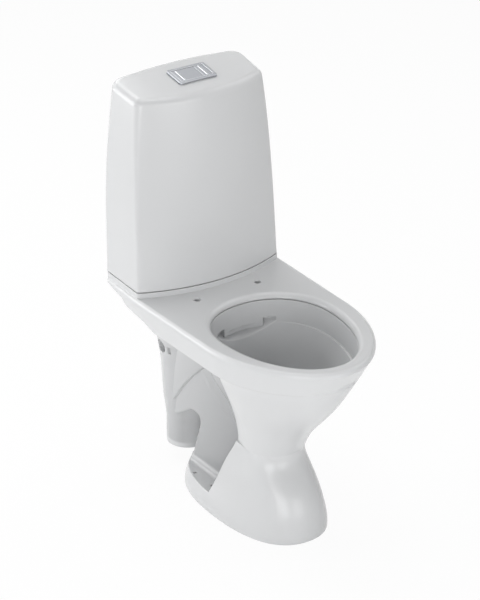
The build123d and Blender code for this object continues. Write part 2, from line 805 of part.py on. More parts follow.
def pan():
    """The whole pan: one hollow piece of glazed ware."""
    ware = deck_body() - band_void() - deck_pocket()
    ware = ware + platform_body()
    ware = ware + skirt_body() + foot_body()
    ware = ware + column_body() + bulge_body() + belly_body()
    ware = ware + bowl_lower(ware_wall)
    ware = ware + (bowl_upper(ware_wall, rim_height - deck_plate))
    ware = ware + trap_shell()
    ware = ware - bowl_upper(0, rim_height + overrun) - bowl_lower(0)
    ware = ware - trap_tube(trap_radius) - water_way()
    for recess in fixing_recesses():
        ware = ware - recess
    for x, y in floor_screw_places():
        ware = ware - post(x, y, -overrun, ledge_height + overrun / 2, floor_screw_hole_radius)
    bolt_hole = bolt_radius + bolt_hole_clearance
    for side in (-1, 1):
        x = side * seat_hole_half_spacing
        ware = ware - post(x, seat_hole_y, band_bottom - overrun, rim_height, seat_hole_radius)
        ware = ware - post(side * bolt_x, bolt_y, band_bottom, platform_z + overrun, bolt_hole)
    shank_hole = fill_shank_radius + shank_hole_clearance
    return ware - post(fill_x, fill_y, band_bottom, platform_z + overrun, shank_hole)


def crown_space(rise):
    """Everything below the hood's crowned and forward-sloping top, raised by a rise."""
    axis_y = back_y - hood_top_edge_radius
    barrel = Rot(90, 0, 0) * Cylinder(hood_crown_radius + rise, 3 * overall_depth)
    barrel = Pos(0, 0, -hood_crown_radius) * barrel
    return Pos(0, axis_y, total_height) * Rot(hood_top_slope, 0, 0) * barrel


def top_z(y):
    """Height of the hood's top on the plane of symmetry."""
    slope = math.tan(math.radians(hood_top_slope))
    return total_height - (back_y - hood_top_edge_radius - y) * slope


def sloped_space(rise):
    """Everything below a flat plane that follows the slope of the hood's top."""
    half = overall_depth
    slab = Pos(0, 0, rise - half) * Box(2 * half, 2 * half, 2 * half)
    return Pos(0, button_y, top_z(button_y)) * Rot(hood_top_slope, 0, 0) * slab


def plan_block(width, depth, radius, z0, z1):
    """Upright rounded block centred on the button set."""
    face = RectangleRounded(width, depth, radius) if radius > 0 else Rectangle(width, depth)
    return Pos(0, button_y, z0) * extrude(face, z1 - z0)


bezel_inner_width = bezel_width - 2 * bezel_border
bezel_inner_depth = bezel_depth - 2 * bezel_border
guide_width = bezel_inner_width + 2 * guide_wall
guide_depth_y = bezel_inner_depth + 2 * guide_wall
guide_bottom = top_z(button_y) - guide_depth
plate_low = top_z(button_y) - hood_top_edge_radius
plate_high = top_z(button_y) + hood_top_edge_radius + bezel_height


def hood():
    """Tall hood of glazed ware, open below, crowned on top, with the button opening."""
    outer = smooth_solid([hood_wire(row, 0, 0) for row in hood_row_shares]) & crown_space(0)
    low = hood_bottom + hood_height / 2
    top_edges = outer.edges().filter_by(lambda e: e.center().Z > low)
    top_edges = top_edges.filter_by(lambda e: e.bounding_box().size.Z < hood_height / 4)
    outer = fillet(top_edges, hood_top_edge_radius)
    inner_wires = [hood_wire(row, hood_wall, 0) for row in hood_row_shares]
    mouth = straight_solid([inner_wires[0].moved(Location((0, 0, -overrun))), inner_wires[0]])
    inner = smooth_solid(inner_wires) & crown_space(-hood_wall)
    open_width = guide_width + 2 * guide_clearance
    open_depth = guide_depth_y + 2 * guide_clearance
    return outer - inner - mouth - plan_block(open_width, open_depth, guide_wall, low, plate_high)


def hood_pads():
    """Four rubber pads between the platform and the foot of the hood."""
    x = hood_half_width - hood_wall
    pads = []
    for side in (-1, 1):
        for y in (pad_rear_y, pad_rear_y - pad_pitch):
            x0, x1 = sorted((side * (x - pad_width / 4), side * (x + pad_width * 3 / 4)))
            y0, y1 = y - pad_length / 2, y + pad_length / 2
            pads.append(block(x0, x1, y0, y1, platform_z, hood_bottom))
    return pads


def button_bezel():
    """Metal frame of the button set, with its underside fitted to the crowned top."""
    frame = plan_block(bezel_width, bezel_depth, bezel_corner_radius, plate_low, plate_high)
    frame = frame & sloped_space(bezel_height)
    rim = frame.faces().sort_by(Axis.Z)[-1].edges()
    frame = fillet(rim, bezel_edge_radius)
    frame = frame - plan_block(bezel_inner_width, bezel_inner_depth, 0, plate_low, plate_high)
    return frame - crown_space(bezel_seat_gap)


def button_guide():
    """Plastic well under the bezel that guides both buttons and holds their springs."""
    well = plan_block(guide_width, guide_depth_y, guide_wall, guide_bottom, plate_high)
    well = well & crown_space(bezel_seat_gap)
    floor = guide_bottom + guide_wall
    well = well - plan_block(bezel_inner_width, bezel_inner_depth, 0, floor, plate_high)
    for x in (full_rod_x, half_rod_x):
        y = button_y + rocker_plane * (-1 if x == full_rod_x else 1)
        well = well - post(x, y, guide_bottom - overrun, floor + seam, stem_radius + stem_fit)
    return well


def button_clamp():
    """Frame that grips the guide under the hood's top and holds the set down."""
    width = guide_width + 2 * clamp_width
    depth = guide_depth_y + 2 * clamp_width
    open_width = guide_width + 2 * clamp_fit
    open_depth = guide_depth_y + 2 * clamp_fit
    frame = plan_block(width, depth, guide_wall, guide_bottom, plate_high)
    frame = frame - plan_block(open_width, open_depth, guide_wall, guide_bottom, plate_high)
    under = crown_space(-hood_wall - clamp_fit)
    return (frame & under) - crown_space(-hood_wall - clamp_fit - clamp_thickness)


def button(x0, x1, rod_x, rod_y):
    """Flush button: a cap that follows the plate's slope, a ridge near its left edge and a stem."""
    low_y = button_y - bezel_inner_depth / 2 + button_gap
    high_y = button_y + bezel_inner_depth / 2 - button_gap
    rise = bezel_height - button_inset
    middle = rise - button_thickness / 2
    cap = block(x0, x1, low_y, high_y, plate_low, plate_high) & sloped_space(rise)
    cap = fillet(cap.faces().sort_by(Axis.Z)[-1].edges(), button_edge_radius)
    cap = cap - sloped_space(rise - button_thickness)
    ridge_x = x0 + ridge_side
    ridge_low, ridge_high = low_y + ridge_end, high_y - ridge_end
    ridge = block(ridge_x, ridge_x + ridge_width, ridge_low, ridge_high, plate_low, plate_high)
    ridge = (ridge & sloped_space(rise + ridge_height)) - sloped_space(middle)
    stem_top = top_z(rod_y) + middle
    stem_low = top_z(rod_y) - stem_length
    stem = post(rod_x, rod_y, stem_low, stem_top, stem_radius)
    stem = stem - post(rod_x, rod_y, stem_low - seam, stem_low + rod_entry, rod_radius + rod_fit)
    return cap + ridge + stem


button_left = -bezel_inner_width / 2 + button_gap
button_split = button_left + full_button_width
button_right = bezel_inner_width / 2 - button_gap
full_rod_y = button_y - rocker_plane
half_rod_y = button_y + rocker_plane


def button_spring(x, y):
    """Coil spring round a button's stem, from the floor of the guide to the cap."""
    low = guide_bottom + guide_wall + 2 * spring_wire_radius
    high = top_z(y) + bezel_height - button_inset - button_thickness - spring_wire_radius - seam
    high = high - spring_coil_radius * math.tan(math.radians(hood_top_slope))
    coil = Helix((high - low) / spring_turns, high - low, spring_coil_radius)
    section = Plane(coil @ 0, z_dir=coil % 0) * Circle(spring_wire_radius)
    return Pos(x, y, low) * sweep(section, path=coil, is_frenet=True)


tank_bottom = platform_z + tank_lift
tank_floor = tank_bottom + tank_base
tank_top = tank_bottom + tank_height


def tank_block(inset, z0, z1):
    """Rounded upright block on the tank's outline, drawn in by an inset."""
    width = 2 * (tank_half_width - inset)
    face = RectangleRounded(width, tank_depth - 2 * inset, tank_corner_radius - inset)
    return Pos(0, tank_y, z0) * extrude(face, z1 - z0)


def inner_tank():
    """Open plastic tank with a thickened rim and holes for the valves and bolts."""
    tank = tank_block(0, tank_bottom, tank_top)
    tank = fillet(tank.faces().sort_by(Axis.Z)[0].edges(), tank_base)
    tank = tank + tank_block(-tank_wall / 2, tank_top - tank_rib_height, tank_top)
    tank = tank - tank_block(tank_wall, tank_floor, tank_top + overrun)
    low, high = tank_bottom - seam, tank_floor + seam
    tank = tank - post(0, button_y, low, high, seat_tail_radius + tail_clearance)
    tank = tank - post(fill_x, fill_y, low, high, fill_shank_radius + tail_clearance)
    for side in (-1, 1):
        tank = tank - post(side * bolt_x, bolt_y, low, high, bolt_radius + bolt_hole_clearance)
    return tank


def sponge_gasket():
    return ring(0, button_y, platform_z, tank_bottom, gasket_radius, gasket_hole_radius)


seat_top = tank_floor + seat_flange
lip_top = seat_top + seat_lip


def valve_seat():
    """Flanged outlet with a raised seat lip and a threaded tail through the tank's floor."""
    seat = post(0, button_y, tank_floor, seat_top, seat_flange_radius)
    seat = seat + post(0, button_y, tank_floor - seat_tail_length, seat_top, seat_tail_radius)
    seat = seat + post(0, button_y, tank_floor, lip_top, seat_lip_radius)
    return seat - post(0, button_y, tank_floor - overrun, lip_top + overrun, seat_bore_radius)


def valve_locknut():
    """Round nut with grip lugs that draws the seat down on the tank's floor."""
    low = tank_bottom - valve_locknut_height
    nut = post(0, button_y, low, tank_bottom, valve_locknut_radius)
    for i in range(locknut_lugs):
        lug = Box(2 * locknut_lug, locknut_lug, valve_locknut_height)
        turned = Rot(0, 0, 360 * i / locknut_lugs) * Pos(valve_locknut_radius, 0, 0) * lug
        nut = nut + Pos(0, button_y, (low + tank_bottom) / 2) * turned
    return nut - post(0, button_y, low - seam, tank_bottom + seam, seat_tail_radius + thread_fit)


cage_top = seat_top + cage_height
neck_top = cage_top + neck_height
pivot_z = neck_top + neck_plate + rocker_rise
collar_bottom = pivot_z + rocker_height / 2 + rocker_nose + end_gap
full_pin_x = full_rod_x / 2
half_pin_x = half_rod_x / 2
half_pivot_z = pivot_z - half_rocker_drop
lip_inside = lift_tube_radius + lift_tube_fit
# Where each rocker turns: pin, plane and height
full_pivot = (full_pin_x, full_rod_y, pivot_z)
half_pivot = (half_pin_x, half_rod_y, half_pivot_z)


def rocker_cheeks(pin_x, plane_y, turn_z):
    """Pair of cheeks that hold one rocker's pin."""
    cheeks = []
    for side in (-1, 1):
        inner = rocker_thickness / 2 + cheek_gap
        y0, y1 = sorted((plane_y + side * inner, plane_y + side * (inner + cheek_thickness)))
        cheek = block(pin_x - cheek_width / 2, pin_x + cheek_width / 2, y0, y1, neck_top, turn_z)
        cheek = cheek + cross_bar(pin_x, y0, y1, turn_z, cheek_width / 2)
        cheeks.append(cheek - cross_bar(pin_x, y0 - seam, y1 + seam, turn_z, rocker_pin_radius))
    return cheeks


def valve_housing():
    """Tower over the seat: a cage with windows, a neck, and the cheeks that carry the rockers."""
    body = post(0, button_y, seat_top, cage_top, housing_radius)
    inner = housing_radius - housing_wall
    body = body - post(0, button_y, seat_top - seam, cage_top - housing_wall, inner)
    for angle in (0, 90):
        window = Box(2 * housing_radius + overrun, cage_window_width, cage_window_height)
        middle = seat_top + cage_height / 2
        body = body - Pos(0, button_y, middle) * Rot(0, 0, angle) * window
    neck_inside = neck_radius - housing_wall
    body = body + ring(0, button_y, cage_top - housing_wall, neck_top, neck_radius, neck_inside)
    body = body + post(0, button_y, neck_top, neck_top + neck_plate, neck_plate_radius)
    bore = post(0, button_y, cage_top - housing_wall - seam, neck_top + neck_plate + seam, lip_inside)
    body = body - bore - post(0, button_y, cage_top - overrun / 2, neck_top, neck_inside)
    for pivot in (full_pivot, half_pivot):
        for cheek in rocker_cheeks(*pivot):
            body = body + cheek
    return body - post(0, button_y, neck_top, collar_bottom, lip_inside)


def lift_tube():
    """Overflow and lift tube with the backing plate of the seal below and the lift collar above."""
    low = lip_top - tube_below_seal
    top = collar_bottom + collar_thickness
    tube = post(0, button_y, low, top, lift_tube_radius)
    backing = lip_top + seal_thickness
    tube = tube + post(0, button_y, backing, backing + seal_backing, seal_backing_radius)
    tube = tube + post(0, button_y, collar_bottom, top, collar_radius)
    return tube - post(0, button_y, low - seam, top + seam, lift_tube_radius - lift_tube_wall)


def valve_seal():
    """Soft ring under the backing plate, resting on the seat lip."""
    return ring(0, button_y, lip_top, lip_top + seal_thickness, seal_radius, lift_tube_radius)


def flush_float():
    """Sleeve float round the lift tube inside the neck."""
    top = cage_top + neck_height - float_ring_drop
    return ring(0, button_y, top - float_ring_height, top, float_ring_radius, lift_tube_radius)


def rocker(pivot, rod_x, nose):
    """Two-armed rocker: pushed down at its rod end, its inner end rises under the collar."""
    pin_x, plane_y, turn_z = pivot
    low_y = plane_y - rocker_thickness / 2
    high_y = plane_y + rocker_thickness / 2
    low_z, high_z = turn_z - rocker_height / 2, turn_z + rocker_height / 2
    x0, x1 = sorted((rod_x + math.copysign(rocker_thickness / 2, rod_x), 0))
    arm = block(x0, x1, low_y, high_y, low_z, high_z)
    arm = arm + cross_bar(pin_x, low_y, high_y, turn_z, rocker_hub_radius)
    if nose > 0:
        n0, n1 = sorted((0, math.copysign(rocker_height / 2, rod_x)))
        arm = arm + block(n0, n1, low_y, high_y, turn_z, high_z + nose)
    hole = rocker_pin_radius + rocker_pin_fit
    return arm - cross_bar(pin_x, low_y - seam, high_y + seam, turn_z, hole)


def rocker_pins():
    """Steel pins of both rockers."""
    half = rocker_thickness / 2 + cheek_gap + cheek_thickness
    pins = []
    for pin_x, plane_y, turn_z in (full_pivot, half_pivot):
        pins.append(cross_bar(pin_x, plane_y - half, plane_y + half, turn_z, rocker_pin_radius))
    return pins


def push_rod(x, y, turn_z):
    """Rod from a button's stem down to its rocker, with a round tip."""
    low = turn_z + rocker_height / 2 + end_gap + rod_radius
    high = top_z(y) - stem_length + rod_entry
    return post(x, y, low, high, rod_radius) + Pos(x, y, low) * Sphere(rod_radius)


fill_flange_top = tank_floor + fill_washer_thickness + fill_flange
fill_body_top = fill_flange_top + fill_body_height
float_top = fill_body_top - float_travel - float_wall
float_low = float_top - float_height


def fill_valve_body():
    """Fill valve: threaded shank, flange, column with the float's stop, head and outlet pipe."""
    shank_low = platform_z - fill_shank_below - deck_plate
    flange_low = tank_floor + fill_washer_thickness
    body = post(fill_x, fill_y, rim_height - deck_plate, flange_low, fill_shank_radius)
    body = body + post(fill_x, fill_y, shank_low, tank_floor, fill_tail_radius)
    body = body + post(fill_x, fill_y, flange_low, fill_flange_top, fill_flange_radius)
    body = body + post(fill_x, fill_y, fill_flange_top, fill_body_top, fill_body_radius)
    stop_top = float_low - end_gap
    body = body + post(fill_x, fill_y, stop_top - float_stop_height, stop_top, float_stop_radius)
    head_top = fill_body_top + fill_head_height
    body = body + post(fill_x, fill_y, fill_body_top, head_top, fill_head_radius)
    pipe_y = fill_y + fill_outlet_reach + float_radius / 2
    elbow_z = fill_body_top + fill_head_height / 2
    pipe = cross_bar(fill_x, fill_y, pipe_y + fill_outlet_radius, elbow_z, fill_outlet_radius)
    pipe_low = elbow_z - fill_outlet_drop
    pipe = pipe + post(fill_x, pipe_y, pipe_low, elbow_z + fill_outlet_radius, fill_outlet_radius)
    body = body + pipe
    body = body - post(fill_x, pipe_y, pipe_low - seam, elbow_z, fill_outlet_radius / 2)
    return body - post(fill_x, fill_y, shank_low - seam, fill_body_top, fill_shank_bore)


def fill_valve_washer():
    hole = fill_shank_radius + thread_fit
    top = tank_floor + fill_washer_thickness
    return ring(fill_x, fill_y, tank_floor, top, fill_flange_radius, hole)


def hexagon_ring(x, y, z0, z1, radius, hole):
    """Hexagon nut between two heights, given across its corners."""
    nut = Pos(x, y, z0) * extrude(RegularPolygon(radius, 6), z1 - z0)
    return nut - post(x, y, z0 - seam, z1 + seam, hole)


def fill_valve_locknut():
    """Hexagon nut on the shank, tight under the tank's floor."""
    low = tank_bottom - fill_locknut_height
    hole = fill_shank_radius + thread_fit
    return hexagon_ring(fill_x, fill_y, low, tank_bottom, fill_locknut_radius, hole)


def fill_valve_cap():
    """Screwed cap of the fill valve's head, with a grip bead."""
    low = fill_body_top + fill_head_height
    cap = post(fill_x, fill_y, low, low + fill_cap_height, fill_head_radius)
    cap = fillet(cap.faces().sort_by(Axis.Z)[-1].edges(), fill_cap_height / 4)
    return cap + post(fill_x, fill_y, low, low + fill_cap_bead_height, fill_head_radius + fill_cap_bead)


def float_cup():
    """Upturned cup that slides on the fill valve's column."""
    cup = post(fill_x, fill_y, float_low, float_top, float_radius)
    cup = fillet(cup.faces().sort_by(Axis.Z)[-1].edges(), float_wall)
    inner_post = fill_body_radius + float_guide_fit + float_wall
    low = float_low - seam
    space = ring(fill_x, fill_y, low, float_top - float_wall, float_radius - float_wall, inner_post)
    return cup - space - post(fill_x, fill_y, low, float_top + seam, fill_body_radius + float_guide_fit)


def bolt_sides():
    return [(-bolt_x, bolt_y), (bolt_x, bolt_y)]


deck_under = rim_height - deck_plate
bolt_head_low = tank_floor + bolt_seal_thickness


def tank_bolts():
    """Slotted bolts that hold the tank down on the platform."""
    bolts = []
    low = deck_under - bolt_washer_thickness - wing_height - bolt_tail
    for x, y in bolt_sides():
        bolt = post(x, y, low, bolt_head_low, bolt_radius)
        bolt = bolt + post(x, y, bolt_head_low, bolt_head_low + bolt_head_height, bolt_head_radius)
        slot = Box(2 * bolt_head_radius + seam, bolt_slot_width, bolt_head_height)
        bolts.append(bolt - Pos(x, y, bolt_head_low + bolt_head_height) * slot)
    return bolts


def bolt_seals():
    """Rubber rings under the bolts' heads."""
    hole = bolt_radius + thread_fit
    top = bolt_head_low
    return [ring(x, y, tank_floor, top, bolt_seal_radius, hole) for x, y in bolt_sides()]


def bolt_washers():
    """Steel washers under the platform."""
    low = deck_under - bolt_washer_thickness
    hole = bolt_radius + thread_fit
    return [ring(x, y, low, deck_under, bolt_washer_radius, hole) for x, y in bolt_sides()]


def wing_nuts():
    """Wing nuts under the washers."""
    nuts = []
    top = deck_under - bolt_washer_thickness
    for x, y in bolt_sides():
        nut = post(x, y, top - wing_height, top, wing_hub_radius)
        low = top - wing_height - wing_rise
        for side in (-1, 1):
            near, far = sorted((side * (bolt_radius + wing_thickness / 2), side * wing_span))
            half = wing_thickness / 2
            nut = nut + block(x + near, x + far, y - half, y + half, low, top - wing_height / 2)
        nuts.append(nut - post(x, y, low - seam, top + seam, bolt_radius + thread_fit))
    return nuts


full_button_edges = (button_left, button_split)
half_button_edges = (button_split + button_gap, button_right)

nodes = {
    "pan": [pan()],
    "hood": [hood()],
    "hood_pads": hood_pads(),
    "button_bezel": [button_bezel()],
    "button_guide": [button_guide()],
    "button_clamp": [button_clamp()],
    "full_flush_button": [button(*full_button_edges, full_rod_x, full_rod_y)],
    "half_flush_button": [button(*half_button_edges, half_rod_x, half_rod_y)],
    "full_push_rod": [push_rod(full_rod_x, full_rod_y, pivot_z)],
    "half_push_rod": [push_rod(half_rod_x, half_rod_y, half_pivot_z)],
    "full_button_spring": [button_spring(full_rod_x, full_rod_y)],
    "half_button_spring": [button_spring(half_rod_x, half_rod_y)],
    "inner_tank": [inner_tank()],
    "sponge_gasket": [sponge_gasket()],
    "valve_seat": [valve_seat()],
    "valve_locknut": [valve_locknut()],
    "valve_housing": [valve_housing()],
    "lift_tube": [lift_tube()],
    "valve_seal": [valve_seal()],
    "flush_float": [flush_float()],
    "full_rocker": [rocker(full_pivot, full_rod_x, rocker_nose)],
    "half_rocker": [rocker(half_pivot, half_rod_x, 0)],
    "rocker_pins": rocker_pins(),
    "fill_valve_body": [fill_valve_body()],
    "fill_valve_washer": [fill_valve_washer()],
    "fill_valve_locknut": [fill_valve_locknut()],
    "fill_valve_cap": [fill_valve_cap()],
    "float_cup": [float_cup()],
    "tank_bolts": tank_bolts(),
    "bolt_seals": bolt_seals(),
    "bolt_washers": bolt_washers(),
    "wing_nuts": wing_nuts(),
}

os.makedirs("parts", exist_ok=True)
for name, solids in nodes.items():
    pieces = [solid for shape in solids for solid in shape.solids()]
    node = pieces[0] if len(pieces) == 1 else Compound(children=pieces)
    export_step(node, f"parts/{name}.step")
    print(name, len(pieces), round(node.volume))
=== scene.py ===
# %% [markdown]
# # A glazed toilet, dressed for its picture
# The shapes of this toilet come from a imported CAD model: the pan, the tall hood over the tank,
# the flush valve and every nut. Blender adds what the eye needs: glaze, metal, rubber and light,
# and the fine pieces that repeat, such as screw threads and spring coils. Nothing here changes
# a CAD size. The frame is loaded first.

# %% Load the frame
import bpy
import json
import math
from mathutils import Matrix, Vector


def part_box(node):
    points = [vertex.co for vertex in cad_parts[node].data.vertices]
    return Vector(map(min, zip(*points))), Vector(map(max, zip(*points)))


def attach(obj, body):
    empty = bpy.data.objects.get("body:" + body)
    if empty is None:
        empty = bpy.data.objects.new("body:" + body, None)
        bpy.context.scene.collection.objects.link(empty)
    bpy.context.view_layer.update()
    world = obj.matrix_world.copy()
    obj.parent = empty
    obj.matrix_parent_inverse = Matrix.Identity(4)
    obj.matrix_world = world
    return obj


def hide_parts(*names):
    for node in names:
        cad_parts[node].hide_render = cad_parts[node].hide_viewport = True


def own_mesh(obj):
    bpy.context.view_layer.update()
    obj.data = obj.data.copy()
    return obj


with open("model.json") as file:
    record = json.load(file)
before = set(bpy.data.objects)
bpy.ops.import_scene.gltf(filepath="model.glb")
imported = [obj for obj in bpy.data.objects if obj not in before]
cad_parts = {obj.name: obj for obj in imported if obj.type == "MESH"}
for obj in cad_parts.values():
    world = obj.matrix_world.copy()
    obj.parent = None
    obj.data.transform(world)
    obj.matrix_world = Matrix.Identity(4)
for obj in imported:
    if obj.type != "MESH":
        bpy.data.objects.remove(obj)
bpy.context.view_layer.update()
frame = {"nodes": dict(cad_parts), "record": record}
nodes = frame["nodes"]

# %% [markdown]
# ## Camera
# The picture was taken from the front left, a little above, from far away with a long lens. The
# distance and the lens were found from the outline of the pan, which is the same left and right:
# 168 mm on a 36 mm sensor whose long side is the picture's height. The camera only needs its
# place and two turns, so an Euler rotation is the plainest way to aim it.

# %% Place the camera
camera_data = bpy.data.cameras.new("picture_camera")
camera_data.lens = 168.0
camera_data.sensor_width = 36.0
camera_data.clip_end = 200.0
camera = bpy.data.objects.new("picture_camera", camera_data)
camera.location = (-2.98069, -4.34790, 3.12810)
camera.rotation_euler = (math.radians(90.0 - 26.54), 0.0, math.radians(-34.02))
bpy.context.scene.collection.objects.link(camera)
bpy.context.scene.camera = camera
print("camera at", [round(v, 2) for v in camera.location])

# %% [markdown]
# ## Shared effects
# Several finishes on this toilet share the same small faults: a glaze or a moulding is never
# quite one tone, edges look rounder, and a surface has fine relief. Edges are also painted a
# little paler than the faces beside them, partly as wear and partly as painted highlight. Each of
# these is built once as a shader node group with named inputs, and every material then places it
# with its own values. A fourth group is for the ware alone: in the picture the deep recess behind
# the skirt is darker than these soft lamps make it, so a mask finds its walls by their place and
# by the way they face, and there the glaze gets a darker colour as painted shade. The groups put
# out colours, masks, heights and normals only, and the shaders stay in the materials.

# %% Helper for shader groups
def effect_group(name, inputs, outputs):
    """Empty shader group with its sockets: inputs are (name, type, default), outputs (name, type)."""
    group = bpy.data.node_groups.new(name, "ShaderNodeTree")
    for label, kind, default in inputs:
        socket = group.interface.new_socket(label, in_out="INPUT", socket_type=kind)
        if default is not None:
            socket.default_value = default
    for label, kind in outputs:
        group.interface.new_socket(label, in_out="OUTPUT", socket_type=kind)
    entry = group.nodes.new("NodeGroupInput")
    leave = group.nodes.new("NodeGroupOutput")
    return group, entry, leave


def math_node(tree, operation, a, b=None):
    """Math node with its two inputs set from numbers or linked from sockets."""
    node = tree.nodes.new("ShaderNodeMath")
    node.operation = operation
    for slot, value in enumerate((a, b)):
        if value is None:
            continue
        if isinstance(value, (int, float)):
            node.inputs[slot].default_value = value
        else:
            tree.links.new(value, node.inputs[slot])
    return node.outputs[0]


def noise_node(tree, vector, scale, detail, roughness=0.5):
    """Noise over a vector; scale is a number or a socket."""
    node = tree.nodes.new("ShaderNodeTexNoise")
    tree.links.new(vector, node.inputs["Vector"])
    if isinstance(scale, (int, float)):
        node.inputs["Scale"].default_value = scale
    else:
        tree.links.new(scale, node.inputs["Scale"])
    node.inputs["Detail"].default_value = detail
    node.inputs["Roughness"].default_value = roughness
    return node.outputs["Fac"]


def mix_colours(tree, factor, a, b):
    """Mix of two colours, each a tuple or a socket."""
    node = tree.nodes.new("ShaderNodeMix")
    node.data_type = "RGBA"
    for socket, value in ((node.inputs[0], factor), (node.inputs[6], a), (node.inputs[7], b)):
        if isinstance(value, (int, float)):
            socket.default_value = value
        elif isinstance(value, tuple):
            socket.default_value = (*value, 1.0)
        else:
            tree.links.new(value, socket)
    return node.outputs[2]


# %% Tone drift
def build_tone_drift():
    """A colour that wanders a little over the surface, at two scales."""
    group, entry, leave = effect_group(
        "Tone drift",
        [("Vector", "NodeSocketVector", None), ("Colour", "NodeSocketColor", (0.8, 0.8, 0.8, 1.0)),
         ("Shade", "NodeSocketColor", (0.7, 0.7, 0.7, 1.0)), ("Patch Scale", "NodeSocketFloat", 5.0),
         ("Speck Scale", "NodeSocketFloat", 300.0), ("Speck Amount", "NodeSocketFloat", 0.2)],
        [("Colour", "NodeSocketColor"), ("Patches", "NodeSocketFloat")])
    patches = noise_node(group, entry.outputs["Vector"], entry.outputs["Patch Scale"], 2.0)
    specks = noise_node(group, entry.outputs["Vector"], entry.outputs["Speck Scale"], 3.0)
    specks = math_node(group, "MULTIPLY", specks, entry.outputs["Speck Amount"])
    both = math_node(group, "ADD", patches, specks)
    shade_share = 0.8
    factor = math_node(group, "MULTIPLY", both, shade_share)
    mixed = mix_colours(group, factor, entry.outputs["Colour"], entry.outputs["Shade"])
    group.links.new(mixed, leave.inputs[0])
    group.links.new(patches, leave.inputs[1])
    return group


# %% Soft edges
def build_soft_edges():
    """Rounded normals near edges, and a mask that is 1 on the edges and 0 on flat faces."""
    group, entry, leave = effect_group(
        "Soft edges",
        [("Radius", "NodeSocketFloat", 0.002), ("Gain", "NodeSocketFloat", 6.0)],
        [("Normal", "NodeSocketVector"), ("Edge", "NodeSocketFloat")])
    bevel = group.nodes.new("ShaderNodeBevel")
    bevel.samples = 6
    group.links.new(entry.outputs["Radius"], bevel.inputs["Radius"])
    surface = group.nodes.new("ShaderNodeNewGeometry")
    turn = group.nodes.new("ShaderNodeVectorMath")
    turn.operation = "DOT_PRODUCT"
    group.links.new(bevel.outputs[0], turn.inputs[0])
    group.links.new(surface.outputs["Normal"], turn.inputs[1])
    bent = math_node(group, "SUBTRACT", 1.0, turn.outputs["Value"])
    edge = math_node(group, "MULTIPLY", bent, entry.outputs["Gain"])
    edge = math_node(group, "MINIMUM", edge, 1.0)
    group.links.new(bevel.outputs[0], leave.inputs[0])
    group.links.new(edge, leave.inputs[1])
    return group


# %% Painted recess shade
def ramp(tree, value, width):
    """0 where the value is negative, 1 where it is over the width, and a straight rise between."""
    rise = math_node(tree, "DIVIDE", value, width)
    rise.node.use_clamp = True
    return rise


def build_painted_recess_shade():
    """Mask of the outer walls behind the skirt, under the deck and above the foot's ledge, for painted
    shade.
    """
    group, entry, leave = effect_group(
        "Painted recess shade",
        [("Vector", "NodeSocketVector", None), ("Low", "NodeSocketFloat", 0.044),
         ("High", "NodeSocketFloat", 0.403), ("Lean", "NodeSocketFloat", 0.36),
         ("Ridge", "NodeSocketFloat", 0.056), ("Fade", "NodeSocketFloat", 0.42)],
        [("Recess", "NodeSocketFloat")])
    side_blend = 0.025
    level_blend = 0.005
    ridge_blend = 0.012
    place = group.nodes.new("ShaderNodeSeparateXYZ")
    group.links.new(entry.outputs["Vector"], place.inputs[0])
    surface = group.nodes.new("ShaderNodeNewGeometry")
    facing = group.nodes.new("ShaderNodeSeparateXYZ")
    group.links.new(surface.outputs["Normal"], facing.inputs[0])
    outward = math_node(group, "MULTIPLY", place.outputs["X"], facing.outputs["X"])
    mask = ramp(group, outward, side_blend)
    over_ledge = math_node(group, "SUBTRACT", place.outputs["Z"], entry.outputs["Low"])
    under_deck = math_node(group, "SUBTRACT", entry.outputs["High"], place.outputs["Z"])
    above = ramp(group, over_ledge, level_blend)
    below = ramp(group, under_deck, level_blend)
    lean = math_node(group, "MULTIPLY", place.outputs["Z"], entry.outputs["Lean"])
    leaned = math_node(group, "ADD", place.outputs["Y"], lean)
    depth = math_node(group, "SUBTRACT", leaned, entry.outputs["Ridge"])
    behind = ramp(group, depth, ridge_blend)
    fade = math_node(group, "SUBTRACT", 1.0, math_node(group, "DIVIDE", depth, entry.outputs["Fade"]))
    fade.node.use_clamp = True
    for part in (above, below, behind, fade):
        mask = math_node(group, "MULTIPLY", mask, part)
    group.links.new(mask, leave.inputs[0])
    return group


# %% Fine relief
def build_fine_relief():
    """Height of a surface: long waves with a fine grain on them, which may be stretched."""
    group, entry, leave = effect_group(
        "Fine relief",
        [("Vector", "NodeSocketVector", None), ("Stretch", "NodeSocketVector", (1.0, 1.0, 1.0)),
         ("Wave Scale", "NodeSocketFloat", 12.0), ("Grain Scale", "NodeSocketFloat", 600.0),
         ("Grain Share", "NodeSocketFloat", 0.2), ("Low Roughness", "NodeSocketFloat", 0.2),
         ("High Roughness", "NodeSocketFloat", 0.3)],
        [("Height", "NodeSocketFloat"), ("Roughness", "NodeSocketFloat")])
    stretch = group.nodes.new("ShaderNodeVectorMath")
    stretch.operation = "MULTIPLY"
    group.links.new(entry.outputs["Vector"], stretch.inputs[0])
    group.links.new(entry.outputs["Stretch"], stretch.inputs[1])
    waves = noise_node(group, stretch.outputs[0], entry.outputs["Wave Scale"], 1.0)
    grain = noise_node(group, stretch.outputs[0], entry.outputs["Grain Scale"], 3.0)
    grain_part = math_node(group, "MULTIPLY", grain, entry.outputs["Grain Share"])
    group.links.new(math_node(group, "ADD", waves, grain_part), leave.inputs[0])
    span = math_node(group, "SUBTRACT", entry.outputs["High Roughness"], entry.outputs["Low Roughness"])
    rise = math_node(group, "MULTIPLY", span, grain)
    group.links.new(math_node(group, "ADD", entry.outputs["Low Roughness"], rise), leave.inputs[1])
    return group


tone_drift = build_tone_drift()
soft_edges = build_soft_edges()
fine_relief = build_fine_relief()
painted_recess_shade = build_painted_recess_shade()
print("effects:", [g.name for g in (tone_drift, soft_edges, fine_relief, painted_recess_shade)])
